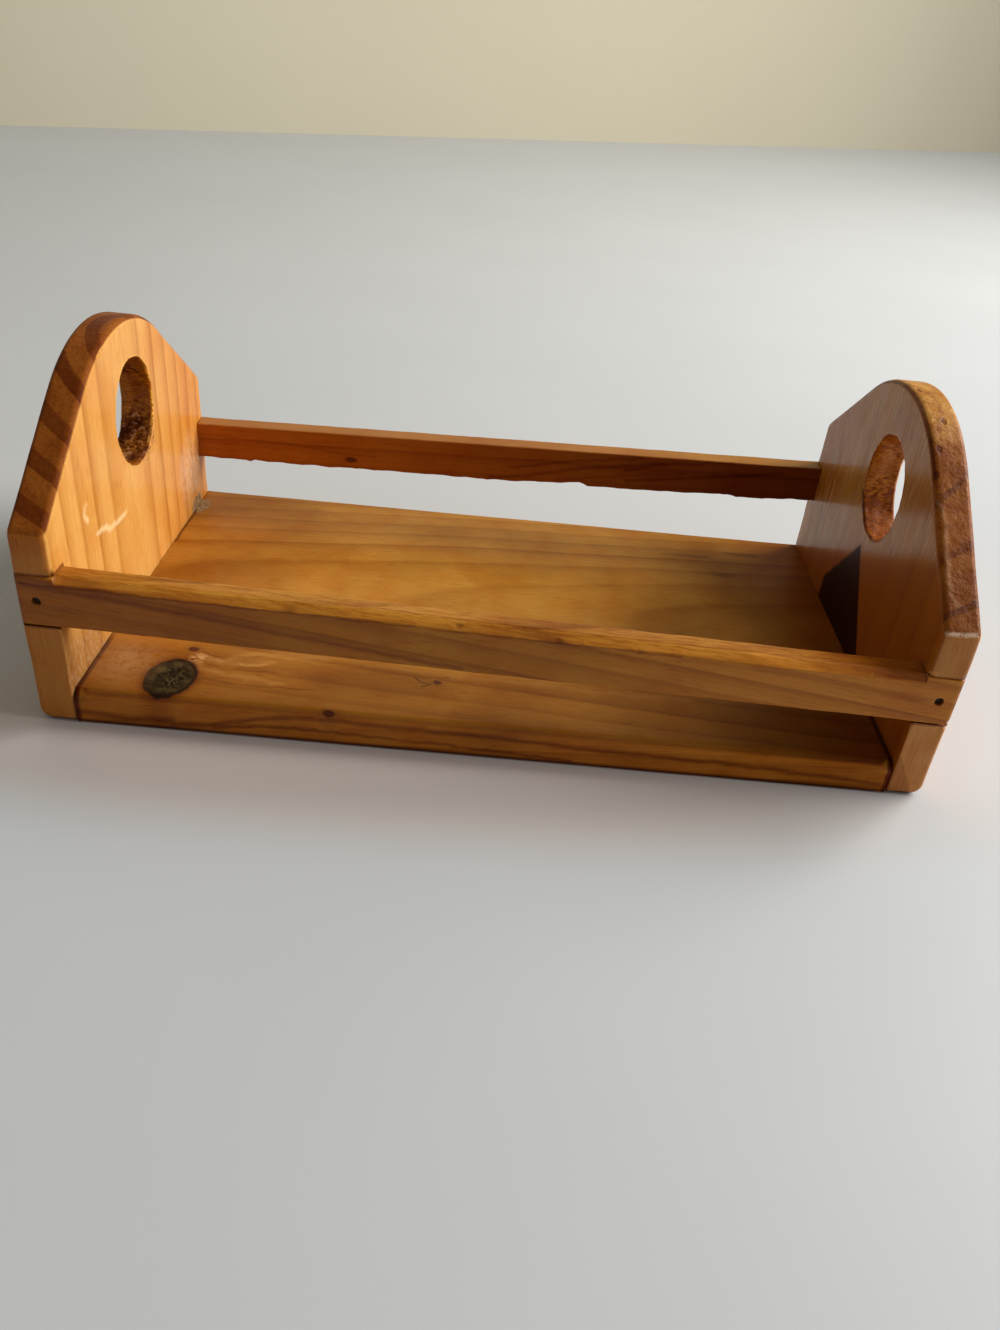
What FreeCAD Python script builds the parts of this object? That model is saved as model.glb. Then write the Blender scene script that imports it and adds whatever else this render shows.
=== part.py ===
"""Open wooden tote: two shaped end panels, a bottom board and two rails let into notches, all nailed.

Millimetres. +X runs along the tote, +Y to its back, +Z up. The origin is on the floor, under its middle.
"""
import FreeCAD, Part
import math
import os
from collections import namedtuple

# Overall sizes of the assembled tote
tote_length = 305.0
tote_depth = 168.0

# End panels, sawn from half-inch board. They were shaped by hand, so their crowns and shoulders differ
panel_thickness = 12.7
crown_radius = 66.0
left_crown_height = 114.0
left_crown_y = -2.0
left_front_shoulder = 70.5
left_back_shoulder = 67.5
right_crown_height = 115.0
right_crown_y = 4.0
right_front_shoulder = 65.0
right_back_shoulder = 73.0
shoulder_round = 5.0
outer_foot_round = 4.5
outer_arris_round = 2.2
inner_upper_arris_round = 2.5
inner_lower_arris_round = 1.0

# Hand holes, made with a hole saw, each where its centre was marked by eye
hand_hole_diameter = 38.0
left_hand_hole_y = 3.0
left_hand_hole_z = 79.5
right_hand_hole_y = 0.5
right_hand_hole_z = 77.5
hand_hole_rim_bevel = 0.8

# Bottom board, butted between the end panels
board_thickness = 12.7
board_end_gap = 0.6
board_front_round = 3.0
board_back_round = 1.0

# Rails, let into the panel edges by eye, so each sits at its own height at either end
front_rail_height = 18.0
front_rail_thickness = 9.5
front_rail_left_z = 38.0
front_rail_right_z = 30.5
back_rail_height = 15.5
back_rail_thickness = 9.5
back_rail_left_z = 33.0
back_rail_right_z = 39.5
notch_play = 0.3
rail_arris_round = 0.8
rail_end_round = 2.0
front_rail_bevel_drop = 2.5
front_rail_bevel_width = 3.0
front_rail_corner_round = 4.0

# Nails. Each has a round head, punched below the wood's surface. Their rounds have few sides
nail_sides = 16
nail_shank_diameter = 1.8
nail_head_diameter = 3.0
nail_head_thickness = 1.0
nail_point_length = 3.0
nail_point_diameter = 0.4
nail_clearance = 0.1
nail_set_depth = 1.5
rail_nail_length = 25.0
rail_nail_inset = 6.35
panel_nail_length = 32.0
panel_nail_count = 3
panel_nail_spacing = 55.0

# Places that follow from the sizes above
half_length = tote_length / 2.0
half_depth = tote_depth / 2.0
inner_half_length = half_length - panel_thickness
cut_margin = 5.0
tolerance = 1e-4


def vec(x, y, z):
    return FreeCAD.Vector(x, y, z)


def export(name, shape):
    shape.exportStep("parts/" + name + ".step")


def edges_where(shape, test):
    """The edges whose middle point passes the test."""
    picked = []
    for edge in shape.Edges:
        middle = edge.valueAt((edge.FirstParameter + edge.LastParameter) / 2.0)
        if test(edge, middle):
            picked.append(edge)
    return picked


def rail_z_at(rail, x):
    """Height of a rail's underside at x: a straight line from the left end of the tote to the right end."""
    return rail.left_z + (rail.right_z - rail.left_z) * (x + half_length) / tote_length


def crown_tangent(panel, shoulder_z, end):
    """Where the slope up from a shoulder meets the crown's arc. end is -1 in front and 1 at the back."""
    centre_z = panel.crown_height - crown_radius
    run = half_depth - end * panel.crown_y
    rise = shoulder_z - centre_z
    to_shoulder = math.atan2(rise, run)
    to_tangent = to_shoulder + math.acos(crown_radius / math.hypot(run, rise))
    y = panel.crown_y + end * crown_radius * math.cos(to_tangent)
    return y, centre_z + crown_radius * math.sin(to_tangent)


def panel_face(panel, x):
    """Outline of an end panel in the plane at x: square foot, sloped shoulders and a round crown."""
    front_y, front_z = crown_tangent(panel, panel.front_shoulder, -1)
    back_y, back_z = crown_tangent(panel, panel.back_shoulder, 1)
    foot_front = vec(x, -half_depth, 0.0)
    foot_back = vec(x, half_depth, 0.0)
    shoulder_front = vec(x, -half_depth, panel.front_shoulder)
    shoulder_back = vec(x, half_depth, panel.back_shoulder)
    tangent_front = vec(x, front_y, front_z)
    tangent_back = vec(x, back_y, back_z)
    crown_top = vec(x, panel.crown_y, panel.crown_height)
    edges = [
        Part.makeLine(foot_front, foot_back),
        Part.makeLine(foot_back, shoulder_back),
        Part.makeLine(shoulder_back, tangent_back),
        Part.Arc(tangent_back, crown_top, tangent_front).toShape(),
        Part.makeLine(tangent_front, shoulder_front),
        Part.makeLine(shoulder_front, foot_front),
    ]
    return Part.Face(Part.Wire(edges))


def along_x(edge):
    """True for a straight edge that runs along the tote."""
    if len(edge.Vertexes) != 2:
        return False
    start, end = edge.Vertexes[0].Point, edge.Vertexes[1].Point
    return math.hypot(start.y - end.y, start.z - end.z) < tolerance


def rail_blank(rail, play):
    """A straight rail over the tote's full length, grown by play above and below."""
    inner_y = rail.outer_y - math.copysign(rail.thickness, rail.outer_y)
    points = [
        vec(-half_length, inner_y, rail.left_z - play),
        vec(half_length, inner_y, rail.right_z - play),
        vec(half_length, inner_y, rail.right_z + rail.height + play),
        vec(-half_length, inner_y, rail.left_z + rail.height + play),
    ]
    outline = Part.makePolygon(points + [points[0]])
    return Part.Face(outline).extrude(vec(0.0, rail.outer_y - inner_y, 0.0))


def nail_bar(start_radius, end_radius, length, start, direction):
    """A round bar of nail_sides sides along direction, straight or tapered."""
    rings = []
    for radius, z in ((start_radius, 0.0), (end_radius, length)):
        corners = []
        for i in range(nail_sides):
            angle = 2.0 * math.pi * i / nail_sides
            corners.append(vec(radius * math.cos(angle), radius * math.sin(angle), z))
        rings.append(Part.makePolygon(corners + [corners[0]]))
    bar = Part.makeLoft(rings, True, True)
    bar.Placement = FreeCAD.Placement(start, FreeCAD.Rotation(vec(0.0, 0.0, 1.0), direction))
    return bar


def nail(start, direction, length):
    """A nail whose head lies below the surface point start and which is driven along direction."""
    head_radius = nail_head_diameter / 2.0
    shank_radius = nail_shank_diameter / 2.0
    shank_length = length - nail_head_thickness - nail_point_length
    head_top = start + direction * nail_set_depth
    shank_top = head_top + direction * nail_head_thickness
    point_top = shank_top + direction * shank_length
    head = nail_bar(head_radius, head_radius, nail_head_thickness, head_top, direction)
    shank = nail_bar(shank_radius, shank_radius, shank_length, shank_top, direction)
    point = nail_bar(shank_radius, nail_point_diameter / 2.0, nail_point_length, point_top, direction)
    return head.fuse([shank, point]).removeSplitter()


def nail_room(start, direction, length):
    """The hole that a nail leaves in the wood: the punched recess over its head, and its shank's bore."""
    recess_radius = (nail_head_diameter + nail_clearance) / 2.0
    bore_radius = (nail_shank_diameter + nail_clearance) / 2.0
    recess_start = start - direction * cut_margin
    recess_length = cut_margin + nail_set_depth + nail_head_thickness
    bore_start = start + direction * nail_set_depth
    recess = nail_bar(recess_radius, recess_radius, recess_length, recess_start, direction)
    bore = nail_bar(bore_radius, bore_radius, length + nail_clearance, bore_start, direction)
    return recess.fuse(bore)


def rail_nail_places(rail):
    """Start and direction of the nail at each end of a rail, in the middle of its height."""
    inward = vec(0.0, -math.copysign(1.0, rail.outer_y), 0.0)
    places = []
    for side in (-1, 1):
        x = side * (half_length - rail_nail_inset)
        places.append((vec(x, rail.outer_y, rail_z_at(rail, x) + rail.height / 2.0), inward))
    return places


def panel_nail_places(side):
    """Start and direction of the nails through one end panel into the bottom board's end."""
    places = []
    for i in range(panel_nail_count):
        y = (i - (panel_nail_count - 1) / 2.0) * panel_nail_spacing
        places.append((vec(side * half_length, y, board_thickness / 2.0), vec(-side, 0.0, 0.0)))
    return places


def nails(places, length):
    return Part.makeCompound([nail(start, direction, length) for start, direction in places])


def nail_rooms(places, length):
    return [nail_room(start, direction, length) for start, direction in places]


def hand_hole(panel):
    """The round hole through one end panel, with both of its rims eased."""
    radius = hand_hole_diameter / 2.0
    outward = vec(panel.side, 0.0, 0.0)
    inner = vec(panel.side * inner_half_length, panel.hole_y, panel.hole_z)
    hole = Part.makeCylinder(radius, panel_thickness, inner, outward)
    for rim, direction in ((inner, -outward), (inner + outward * panel_thickness, outward)):
        start = rim - direction * hand_hole_rim_bevel
        wide_radius = radius + hand_hole_rim_bevel
        hole = hole.fuse(Part.makeCone(radius, wide_radius, hand_hole_rim_bevel, start, direction))
    return hole


def end_panel(panel):
    """One end panel, notched for both rails, with its hand hole and nail holes."""
    outer_x = panel.side * half_length
    inner_x = panel.side * inner_half_length
    shape = panel_face(panel, inner_x).extrude(vec(outer_x - inner_x, 0.0, 0.0))

    def shoulder(edge, middle):
        return along_x(edge) and abs(middle.y) > half_depth - tolerance and middle.z > tolerance

    def outer_foot(edge, middle):
        return abs(middle.x - outer_x) < tolerance and middle.z < tolerance

    shape = shape.makeFillet(shoulder_round, edges_where(shape, shoulder))
    outline = Part.makeCompound(edges_where(shape, lambda edge, middle: not along_x(edge)))
    shape = shape.makeFillet(outer_foot_round, edges_where(shape, outer_foot))
    notches = [rail_blank(front_seat, notch_play), rail_blank(back_seat, notch_play)]
    shape = shape.cut(notches + [hand_hole(panel)])

    def on_outline(middle, x):
        return abs(middle.x - x) < tolerance and outline.distToShape(Part.Vertex(middle))[0] < tolerance

    def above_notch(middle):
        rail = back_seat if middle.y > 0.0 else front_seat
        return middle.z > rail_z_at(rail, inner_x) + rail.height

    def outer_arris(edge, middle):
        return on_outline(middle, outer_x)

    def inner_upper_arris(edge, middle):
        return on_outline(middle, inner_x) and above_notch(middle)

    def inner_lower_arris(edge, middle):
        return on_outline(middle, inner_x) and not above_notch(middle) and middle.z > tolerance

    shape = shape.makeFillet(outer_arris_round, edges_where(shape, outer_arris))
    shape = shape.makeFillet(inner_upper_arris_round, edges_where(shape, inner_upper_arris))
    shape = shape.makeFillet(inner_lower_arris_round, edges_where(shape, inner_lower_arris))
    rooms = nail_rooms(rail_nail_places(front_seat) + rail_nail_places(back_seat), rail_nail_length)
    rooms += nail_rooms(panel_nail_places(panel.side), panel_nail_length)
    return shape.cut(rooms)


def bottom_board():
    """The floor of the tote, its front top edge rounded over and its other long edges eased."""
    half_board = inner_half_length - board_end_gap
    board = Part.makeBox(2.0 * half_board, tote_depth, board_thickness, vec(-half_board, -half_depth, 0.0))

    def front_top(edge, middle):
        return along_x(edge) and middle.y < 0.0 and middle.z > tolerance

    def other_long(edge, middle):
        return along_x(edge) and (middle.y > 0.0 or middle.z < tolerance)

    board = board.makeFillet(board_front_round, edges_where(board, front_top))
    board = board.makeFillet(board_back_round, edges_where(board, other_long))
    return board.cut(nail_rooms(panel_nail_places(-1) + panel_nail_places(1), panel_nail_length))


def stopped_bevel(rail):
    """What is planed off the front rail's upper front arris, from one end panel to the other.

    Its section is a triangle over the arris, whose slanted side runs one bevel past the wood each way.
    """
    left_top = rail_z_at(rail, -inner_half_length) + rail.height
    right_top = rail_z_at(rail, inner_half_length) + rail.height
    front_y = rail.outer_y - front_rail_bevel_width
    back_y = rail.outer_y + 2.0 * front_rail_bevel_width
    low_z = left_top - 2.0 * front_rail_bevel_drop
    high_z = left_top + front_rail_bevel_drop
    corners = [
        vec(-inner_half_length, front_y, low_z),
        vec(-inner_half_length, back_y, high_z),
        vec(-inner_half_length, front_y, high_z),
    ]
    section = Part.makePolygon(corners + [corners[0]])
    return Part.Face(section).extrude(vec(2.0 * inner_half_length, 0.0, right_top - left_top))


def sanded_corner(rail):
    """What is sanded off the lower right corner of the front rail, which leaves that corner round."""
    radius = front_rail_corner_round
    x = half_length - radius
    z = rail_z_at(rail, x) + radius
    y = rail.outer_y - cut_margin
    width = rail.thickness + 2.0 * cut_margin
    reach = radius + cut_margin
    waste = Part.makeBox(reach, width, reach, vec(x, y, z - reach))
    return waste.cut(Part.makeCylinder(radius, width, vec(x, y, z), vec(0.0, 1.0, 0.0)))


def eased_rail(rail):
    """A rail with its outer end corners and its long edges rounded, and room for its nails."""
    shape = rail_blank(rail, 0.0)

    def end_upright(edge, middle):
        return abs(middle.y - rail.outer_y) < tolerance and abs(abs(middle.x) - half_length) < tolerance

    def long_arris(edge, middle):
        return edge.Length > inner_half_length

    shape = shape.makeFillet(rail_end_round, edges_where(shape, end_upright))
    shape = shape.makeFillet(rail_arris_round, edges_where(shape, long_arris))
    return shape.cut(nail_rooms(rail_nail_places(rail), rail_nail_length))


# The rails' seats in the end panels. left_z and right_z are the heights of a rail's underside at its ends
Rail = namedtuple("Rail", "left_z right_z height thickness outer_y")
front_seat = Rail(front_rail_left_z, front_rail_right_z, front_rail_height, front_rail_thickness, -half_depth)
back_seat = Rail(back_rail_left_z, back_rail_right_z, back_rail_height, back_rail_thickness, half_depth)

# The end panels' shapes. side is -1 for the left end of the tote and 1 for the right
Panel = namedtuple("Panel", "side front_shoulder back_shoulder crown_y crown_height hole_y hole_z")
left_panel = Panel(-1, left_front_shoulder, left_back_shoulder, left_crown_y, left_crown_height,
                   left_hand_hole_y, left_hand_hole_z)
right_panel = Panel(1, right_front_shoulder, right_back_shoulder, right_crown_y, right_crown_height,
                    right_hand_hole_y, right_hand_hole_z)

os.makedirs("parts", exist_ok=True)
export("left_end_panel", end_panel(left_panel))
export("right_end_panel", end_panel(right_panel))
export("bottom_board", bottom_board())
export("front_rail", eased_rail(front_seat).cut([stopped_bevel(front_seat), sanded_corner(front_seat)]))
export("back_rail", eased_rail(back_seat))
export("front_rail_nails", nails(rail_nail_places(front_seat), rail_nail_length))
export("back_rail_nails", nails(rail_nail_places(back_seat), rail_nail_length))
export("left_panel_nails", nails(panel_nail_places(-1), panel_nail_length))
export("right_panel_nails", nails(panel_nail_places(1), panel_nail_length))
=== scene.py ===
import bmesh
import bpy
import math
from mathutils import Euler, Matrix, Vector, noise


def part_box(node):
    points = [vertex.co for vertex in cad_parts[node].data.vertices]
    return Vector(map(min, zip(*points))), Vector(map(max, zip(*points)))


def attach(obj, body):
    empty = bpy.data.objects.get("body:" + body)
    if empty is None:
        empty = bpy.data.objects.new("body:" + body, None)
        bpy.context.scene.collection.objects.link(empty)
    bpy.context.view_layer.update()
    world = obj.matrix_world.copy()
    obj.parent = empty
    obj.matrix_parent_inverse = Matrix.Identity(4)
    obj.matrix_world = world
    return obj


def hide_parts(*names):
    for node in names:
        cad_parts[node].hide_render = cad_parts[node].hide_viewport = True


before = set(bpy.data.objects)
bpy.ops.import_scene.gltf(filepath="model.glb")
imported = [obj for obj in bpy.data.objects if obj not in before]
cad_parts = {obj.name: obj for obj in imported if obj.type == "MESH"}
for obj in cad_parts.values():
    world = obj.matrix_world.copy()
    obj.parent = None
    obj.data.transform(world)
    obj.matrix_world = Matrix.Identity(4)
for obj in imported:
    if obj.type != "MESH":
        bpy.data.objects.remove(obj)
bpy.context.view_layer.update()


# End panels. Two pieces of half-inch pine with the grain upright, sawn to a round crown over sloped
# shoulders and sanded by hand, each with a rough hand hole. They carry the whole tote, varnished orange.
def box_mm(node):
    """A node's low and high corner, in millimetres to one decimal."""
    return [[round(1000.0 * value, 1) for value in corner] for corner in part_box(node)]


def cut_into_grid(body, low, high, steps):
    """Cuts the faces that lie in a box by planes about a step apart along x, y and z."""
    margin, same_place = 1e-4, 1e-7
    inside = []
    for face in body.faces:
        middle = face.calc_center_median()
        if all(low[k] - margin <= middle[k] <= high[k] + margin for k in range(3)):
            inside.append(face)
    edges = list({edge for face in inside for edge in face.edges})
    vertices = list({vertex for edge in edges for vertex in edge.verts})
    pieces = inside + edges + vertices
    for axis in range(3):
        normal = Vector((axis == 0, axis == 1, axis == 2))
        cuts = int((high[axis] - low[axis]) / steps[axis])
        for i in range(1, cuts + 1):
            place = normal * (low[axis] + (high[axis] - low[axis]) * i / (cuts + 1.0))
            cut = bmesh.ops.bisect_plane(body, geom=pieces, dist=same_place, plane_co=place,
                                         plane_no=normal)
            pieces = cut["geom"]


def worn_copy(node, spacing, depth, patch, seed, seats, fine=()):
    """A copy of a CAD piece, cut into a grid and sanded into the slight hollows that hand work leaves.

    spacing is the grid's, depth is that of the hollows and patch is their length. Nothing moves near the
    nodes in seats, which touch the piece. fine holds boxes with a finer grid, as (low, high, steps).
    Everything is in metres.
    """
    body = bmesh.new()
    body.from_mesh(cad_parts[node].data)
    bmesh.ops.remove_doubles(body, verts=body.verts, dist=1e-6)
    bmesh.ops.dissolve_limit(body, angle_limit=math.radians(0.5), verts=body.verts, edges=body.edges)
    cut_into_grid(body, *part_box(node), (spacing, spacing, spacing))
    for low, high, steps in fine:
        cut_into_grid(body, low, high, steps)
    narrowest_face = 5e-6
    bmesh.ops.remove_doubles(body, verts=body.verts, dist=narrowest_face)
    body.normal_update()
    seat_boxes = [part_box(seat) for seat in seats]
    seat_margin, seat_blend = 0.0005, 0.004
    for vertex in body.verts:
        share = 1.0
        for low, high in seat_boxes:
            away = max(max(low[k] - vertex.co[k], vertex.co[k] - high[k]) for k in range(3))
            share = min(share, max(0.0, away - seat_margin) / seat_blend)
        hollow = noise.noise(vertex.co / patch + Vector((seed, 0.0, 0.0)))
        hollow += 0.5 * noise.noise(vertex.co * 3.0 / patch + Vector((0.0, seed, 0.0)))
        vertex.co -= vertex.normal * depth * share * (0.5 + 0.5 * max(-1.0, min(1.0, hollow)))
    return body


def finished(body, node, material):
    """Makes the worked body a piece that stands for the node."""
    mesh = bpy.data.meshes.new(node + "_worn")
    body.to_mesh(mesh)
    body.free()
    mesh.shade_smooth()
    mesh.set_sharp_from_angle(angle=math.radians(40.0))
    mesh.materials.append(material)
    piece = bpy.data.objects.new(node + "_worn", mesh)
    bpy.context.scene.collection.objects.link(piece)
    piece.modifiers.new("Flat faces", "WEIGHTED_NORMAL").keep_sharp = True
    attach(piece, "root")
    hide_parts(node)


class Finish:
    """One material. Its patterns are in millimetres, and a mask is an output, or a number from 0 to 1.

    Colours are linear red, green and blue. Most calls add shader nodes and return the last one's output.
    """

    def __init__(self, name):
        self.material = bpy.data.materials.new(name)
        self.material.use_nodes = True
        self.tree = self.material.node_tree
        self.shader = self.tree.nodes["Principled BSDF"]
        coordinates = self.tree.nodes.new("ShaderNodeTexCoord")
        self.place = self.add("VectorMath", {0: coordinates.outputs["Object"], 3: 1000.0},
                              operation="SCALE")
        self.normal = coordinates.outputs["Normal"]
        self.flat_normal = self.tree.nodes.new("ShaderNodeNewGeometry").outputs["True Normal"]

    def put(self, value, socket):
        """Links an output to the socket, or sets the socket to a number, vector or colour."""
        if isinstance(value, bpy.types.NodeSocket):
            self.tree.links.new(value, socket)
        elif socket.type == "RGBA":
            socket.default_value = (*value, 1.0)
        else:
            socket.default_value = value

    def add(self, kind, inputs, output=0, **settings):
        """Adds a shader node of this kind with these inputs and settings."""
        node = self.tree.nodes.new("ShaderNode" + kind)
        for name, value in settings.items():
            setattr(node, name, value)
        for name, value in inputs.items():
            self.put(value, node.inputs[name])
        return node.outputs[output]

    def math(self, operation, *values):
        return self.add("Math", dict(enumerate(values)), operation=operation)

    def dot(self, first, second):
        return self.add("VectorMath", {0: first, 1: second}, output="Value", operation="DOT_PRODUCT")

    def moved(self, vector, place=(0, 0, 0), turn=(0, 0, 0), scale=(1, 1, 1)):
        return self.add("Mapping", {"Vector": vector, "Location": place, "Rotation": turn, "Scale": scale})

    def noise(self, vector, scale=1.0, detail=2.0, roughness=0.5, distortion=0.0):
        return self.add("TexNoise", {"Vector": vector, "Scale": scale, "Detail": detail,
                                     "Roughness": roughness, "Distortion": distortion}, output="Fac")

    def fade(self, value, start, end):
        """0 where value is at start, 1 at end, and a smooth step between them."""
        return self.add("MapRange", {"Value": value, "From Min": start, "From Max": end},
                        interpolation_type="SMOOTHSTEP")

    def split(self, vector):
        """The three parts of a vector."""
        node = self.tree.nodes.new("ShaderNodeSeparateXYZ")
        self.put(vector, node.inputs[0])
        return node.outputs[0], node.outputs[1], node.outputs[2]

    def both(self, *masks):
        """The product of the masks, so 1 where every mask is 1."""
        result = masks[0]
        for mask in masks[1:]:
            result = self.math("MULTIPLY", result, mask)
        return result

    def mix(self, factor, first, second, blend="MIX"):
        """The first colour where factor is 0 and the second one where it is 1."""
        node = self.tree.nodes.new("ShaderNodeMix")
        node.data_type = "RGBA"
        node.blend_type = blend
        for socket, value in zip((node.inputs[0], node.inputs[6], node.inputs[7]), (factor, first, second)):
            self.put(value, socket)
        return node.outputs[2]

    def ramp(self, factor, *stops):
        """stops are (position, grey) from 0 to 1 and in order."""
        node = self.tree.nodes.new("ShaderNodeValToRGB")
        self.put(factor, node.inputs["Fac"])
        steps = node.color_ramp.elements
        steps[0].position, steps[1].position = stops[0][0], stops[-1][0]
        for position, _ in stops[1:-1]:
            steps.new(position)
        for step, (_, grey) in zip(steps, stops):
            step.color = (grey, grey, grey, 1.0)
        return node.outputs["Color"]

    def oval(self, centre, size, turn=(0, 0, 0), wobble=0.0):
        """Distance from centre, 1 at the surface of an oval of these half sizes, with an uneven outline."""
        scaled = self.add("Mapping", {"Vector": self.place, "Location": centre, "Rotation": turn,
                                      "Scale": size}, vector_type="TEXTURE")
        away = self.add("VectorMath", {0: scaled}, output="Value", operation="LENGTH")
        if wobble:
            uneven = self.noise(self.place, scale=0.35, detail=4.0, roughness=0.6)
            away = self.math("MULTIPLY_ADD", self.math("SUBTRACT", uneven, 0.5), wobble, away)
        return away

    def patch(self, centre, size, outer, inner, wobble=0.0):
        """0 from outer times an oval's half sizes outwards and 1 from inner times them inwards."""
        return self.fade(self.oval(centre, size, wobble=wobble), outer, inner)

    def trail(self, points, width, wobble=0.0):
        """1 along a line through points, 0 at half the width from it. wobble is how far it wanders."""
        shake = self.add("TexNoise", {"Vector": self.place, "Scale": 0.16, "Detail": 3.0}, output="Color")
        shake = self.add("VectorMath", {0: shake, 1: (0.5, 0.5, 0.5)}, operation="SUBTRACT")
        shake = self.add("VectorMath", {0: shake, 3: wobble * 2.0}, operation="SCALE")
        place = self.add("VectorMath", {0: self.place, 1: shake}, operation="ADD")
        far_away = 1000.0
        nearest = far_away
        for start, end in zip(points, points[1:]):
            along = Vector(end) - Vector(start)
            offset = self.add("VectorMath", {0: place, 1: start}, operation="SUBTRACT")
            part = self.add("Clamp", {"Value": self.dot(offset, along / along.length_squared)})
            foot = self.add("VectorMath", {0: tuple(along), 3: part}, operation="SCALE")
            away = self.add("VectorMath", {0: offset, 1: foot}, output="Value", operation="DISTANCE")
            nearest = self.math("MINIMUM", away, nearest)
        return self.fade(nearest, width / 2.0, 0.0)


class Pine(Finish):
    """Varnished pine sawn from a log. Its grain follows from where the board lay in the log.

    pith is a point of the log's centre line in millimetres, turn brings that line upright, ring is the
    width of one year's growth, phase moves the rings outwards and sway is how far they wander. knots are
    (centre, half sizes) that the grain bends round.
    """

    def __init__(self, name, pith, turn, ring, phase, sway, seed, knots=()):
        super().__init__(name)
        upright = Euler(turn).to_matrix()
        self.grain = upright.transposed() @ Vector((0.0, 0.0, 1.0))
        self.log = self.moved(self.place, -(upright @ Vector(pith)), turn)
        self.x, self.y, self.z = self.split(self.place)
        self.seed = seed
        self.relief = 0.0
        log_sides = self.split(self.log)
        slow = self.moved(self.log, (seed, 0.0, 0.0), scale=(0.025, 0.025, 0.007))
        squares = 0.0
        for i in range(2):
            wander = self.noise(self.moved(slow, (0.0, 0.0, 7.0 * i)), detail=3.0)
            side = self.math("MULTIPLY_ADD", self.math("SUBTRACT", wander, 0.5), sway * 2.0, log_sides[i])
            squares = self.math("MULTIPLY_ADD", side, side, squares)
        radius = self.math("SQRT", squares)
        bend_reach, bend_strength = 1.7, 0.8
        for centre, size in knots:
            local = upright @ (Vector(centre) - Vector(pith))
            away = self.oval(centre, [bend_reach * half for half in size], wobble=0.3)
            pull = self.math("EXPONENT", self.math("MULTIPLY", self.both(away, away), -1.0))
            gap = self.math("SUBTRACT", math.hypot(local.x, local.y), radius)
            radius = self.math("MULTIPLY_ADD", self.both(pull, gap), bend_strength, radius)
        years = self.math("DIVIDE", self.math("SUBTRACT", radius, phase), ring)
        self.season = self.math("FRACT", years)
        year = self.math("ADD", self.math("FLOOR", years), seed)
        self.growth = self.add("TexWhiteNoise", {"W": year}, noise_dimensions="1D")
        drawn_out = self.moved(self.log, (seed, 0.0, 0.0), scale=(1.6, 1.6, 0.03))
        self.fibres = self.noise(drawn_out, scale=1.0, detail=5.0, roughness=0.6)

    def towards(self, direction):
        """1 where the surface faces that way."""
        return self.fade(self.dot(self.normal, direction), 0.5, 0.8)

    def tint(self, colour, *masks):
        """Multiplies the wood's colour by this one where every mask is 1."""
        tinted = self.mix(1.0, self.colour, colour, "MULTIPLY")
        self.colour = self.mix(self.both(*masks), self.colour, tinted)

    def stain(self, colour, *masks):
        """Covers the wood's colour with this one where every mask is 1."""
        self.colour = self.mix(self.both(*masks), self.colour, colour)

    def raise_by(self, height, *masks):
        """Lifts the surface by height millimetres where every mask is 1."""
        self.relief = self.math("MULTIPLY_ADD", self.both(*masks), height, self.relief)

    def saw_along(self, early, late):
        """Pale spring wood that darkens to autumn wood, with fibres and resin flecks along the grain."""
        profile = self.ramp(self.season, (0.0, 0.3), (0.06, 0.0), (0.45, 0.12), (0.75, 0.5), (0.93, 1.0),
                            (1.0, 0.35))
        depth = self.both(profile, self.math("MULTIPLY_ADD", self.growth, 0.6, 0.4))
        self.colour = self.mix(depth, early, late)
        self.tint((0.87, 0.80, 0.72), self.fade(self.fibres, 0.42, 0.72))
        flecks = self.noise(self.moved(self.log, scale=(2.4, 2.4, 0.14)), scale=1.0, detail=1.0)
        self.tint((0.76, 0.62, 0.48), self.fade(flecks, 0.62, 0.76))
        self.raise_by(0.03, depth)
        self.raise_by(0.06, self.fibres)

    def saw_across(self, early, late, band):
        """End grain, darker and with hard rings, where the surface is cut across the fibres.

        band is the part of each year, from 0 to 1, after which the dark autumn wood starts.
        """
        self.cut = self.fade(self.math("ABSOLUTE", self.dot(self.flat_normal, self.grain)), 0.3, 0.55)
        profile = self.ramp(self.season, (0.0, 0.15), (0.03, 0.0), (band - 0.06, 0.12), (band, 0.9),
                            (0.98, 1.0), (1.0, 0.2))
        pores = self.noise(self.place, scale=0.7, detail=5.0, roughness=0.7)
        depth = self.both(profile, self.math("MULTIPLY_ADD", self.growth, 0.5, 0.5))
        ends = self.mix(depth, early, late)
        darker = self.mix(1.0, ends, (0.72, 0.58, 0.46), "MULTIPLY")
        ends = self.mix(self.fade(pores, 0.45, 0.72), ends, darker)
        self.colour = self.mix(self.cut, self.colour, ends)
        self.raise_by(0.3, self.cut, pores)

    def mottle(self, size, colour, mask=1.0):
        """Varnish that lies thicker in patches of about this size, where mask is 1."""
        patches = self.noise(self.moved(self.place, (self.seed, 0.0, 0.0)), scale=1.0 / size, detail=3.0)
        self.tint(colour, self.fade(patches, 0.42, 0.66), mask)

    def dust(self, colour):
        """Fine specks in the varnish."""
        specks = self.noise(self.place, scale=1.6, detail=3.0, roughness=0.7)
        self.tint(colour, self.fade(specks, 0.5, 0.75))
        self.raise_by(0.05, specks)

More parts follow.
